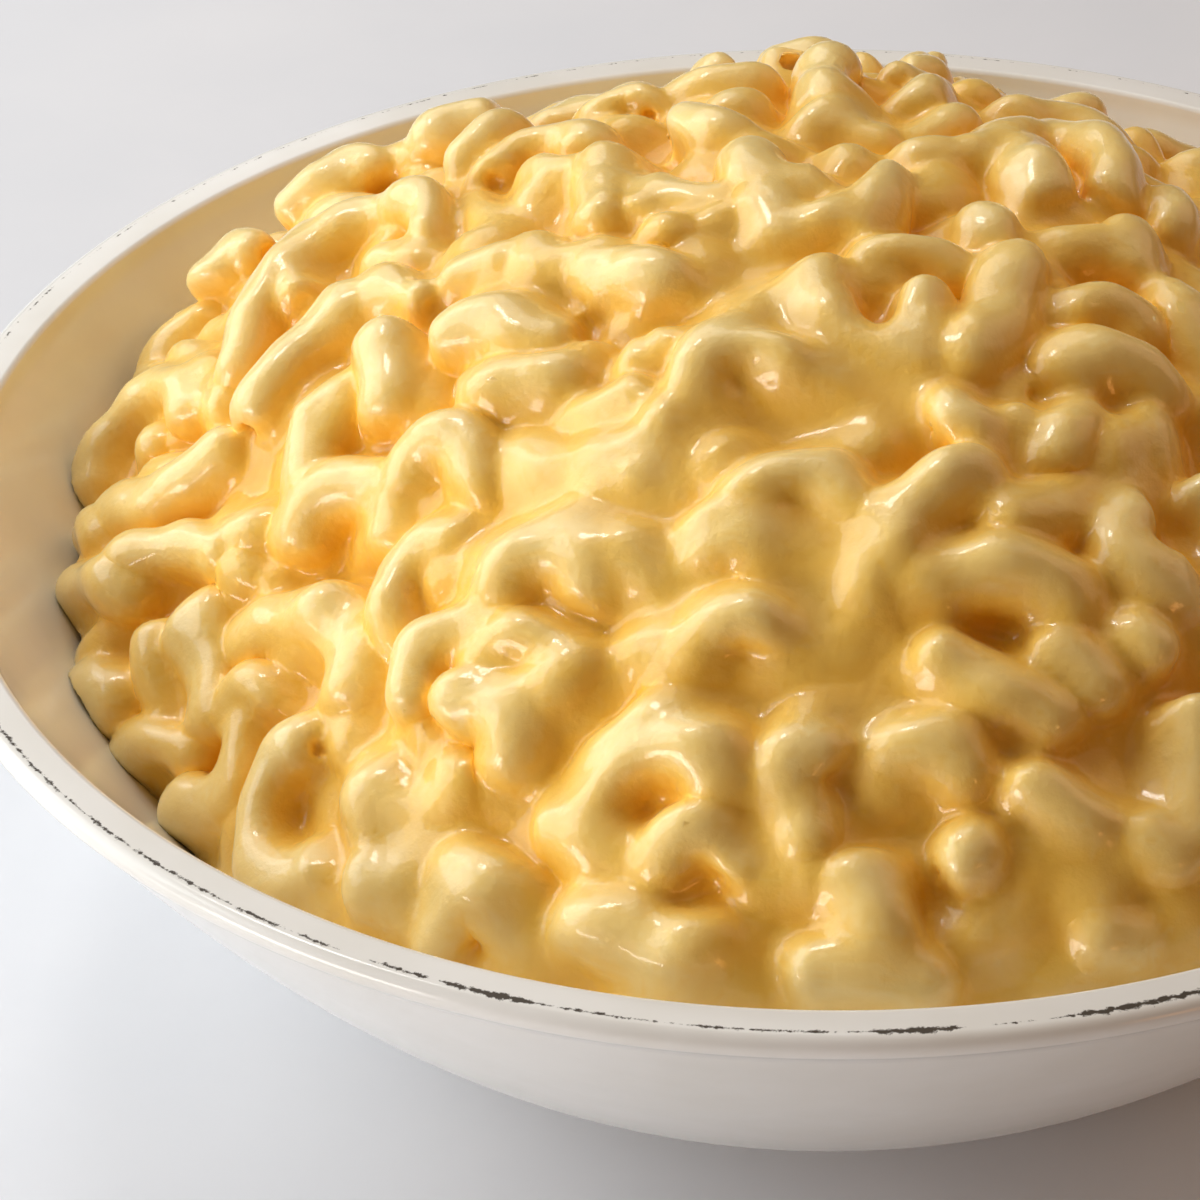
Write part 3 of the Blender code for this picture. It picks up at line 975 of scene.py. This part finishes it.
def add_camera():
    """The lens 552 mm from the middle of the rim, 32.4 degrees above it, aimed a little left and below."""
    distance, elevation = 552, math.radians(32.4)
    target = Vector((0, 0, RIM_HEIGHT))
    place = target + distance * Vector((0, -math.cos(elevation), math.sin(elevation)))
    pan, tilt, roll = (math.radians(angle) for angle in (3.0, -2.0, 0.5))
    forward = (target - place).normalized()
    right = Vector((1, 0, 0))
    up = right.cross(forward)
    right, forward = swung(right, forward, pan)
    forward, up = swung(forward, up, tilt)
    right, up = swung(right, up, roll)
    data = bpy.data.cameras.new("camera")
    data.lens = 125.6
    data.sensor_width = 36
    data.clip_start = 0.01
    camera = bpy.data.objects.new("camera", data)
    pose = Matrix((right, up, -forward)).transposed().to_4x4()
    pose.translation = place * MM
    camera.matrix_world = pose
    bpy.context.scene.collection.objects.link(camera)
    bpy.context.scene.camera = camera


def add_light(name, place, target, size, power, colour):
    """A soft rectangular light, in metres and watts."""
    data = bpy.data.lights.new(name, "AREA")
    data.shape = "RECTANGLE"
    data.size, data.size_y = size
    data.energy = power
    data.color = colour
    light = bpy.data.objects.new(name, data)
    light.location = place
    light.visible_camera = False
    light.rotation_euler = (Vector(target) - Vector(place)).to_track_quat("-Z", "Y").to_euler()
    bpy.context.scene.collection.objects.link(light)


def add_world(colour, strength):
    """Faint light from all round."""
    world = bpy.data.worlds.new("world")
    world.use_nodes = True
    background = world.node_tree.nodes["Background"]
    background.inputs["Color"].default_value = (*colour, 1)
    background.inputs["Strength"].default_value = strength
    bpy.context.scene.world = world


add_floor(3)
add_camera()
add_light("window", (-0.40, 0.60, 0.72), (0, 0, 0.08), (0.8, 0.8), 3.2, (0.98, 1.0, 1.0))
add_light("left_window", (-0.85, 0.22, 0.5), (0, 0, 0.08), (0.9, 0.8), 6.5, (0.90, 0.97, 1.0))
add_light("pane", (-0.33, 0.34, 0.86), (0, 0, 0.08), (0.18, 0.14), 1.1, (1.0, 0.99, 0.97))
add_light("overhead", (0.15, 0.2, 1.1), (0, 0, 0.08), (1.0, 1.0), 0.9, (1.0, 0.90, 0.76))
add_light("right", (0.8, 0.4, 0.7), (0, 0, 0.08), (0.8, 0.8), 2.0, (1.0, 0.64, 0.40))
add_light("fill", (-1.0, -0.5, 0.45), (0, 0, 0.06), (1.0, 0.8), 0.8, (1.0, 0.99, 0.98))
add_light("near_left", (-0.44, -0.36, 0.13), (-0.12, -0.18, 0.0), (0.25, 0.12), 0.9, (1.0, 0.93, 0.86))
add_light("low_left", (-0.8, -0.5, 0.06), (0, 0, 0.03), (0.8, 0.1), 1.0, (0.98, 0.99, 1.0))
add_light("lamp", (0.45, -0.6, 0.2), (0.02, -0.02, 0.07), (0.12, 0.08), 0.22, (1.0, 0.42, 0.12))
add_world((1.0, 0.65, 0.4), 0.09)
bpy.context.scene.view_settings.view_transform = "Standard"
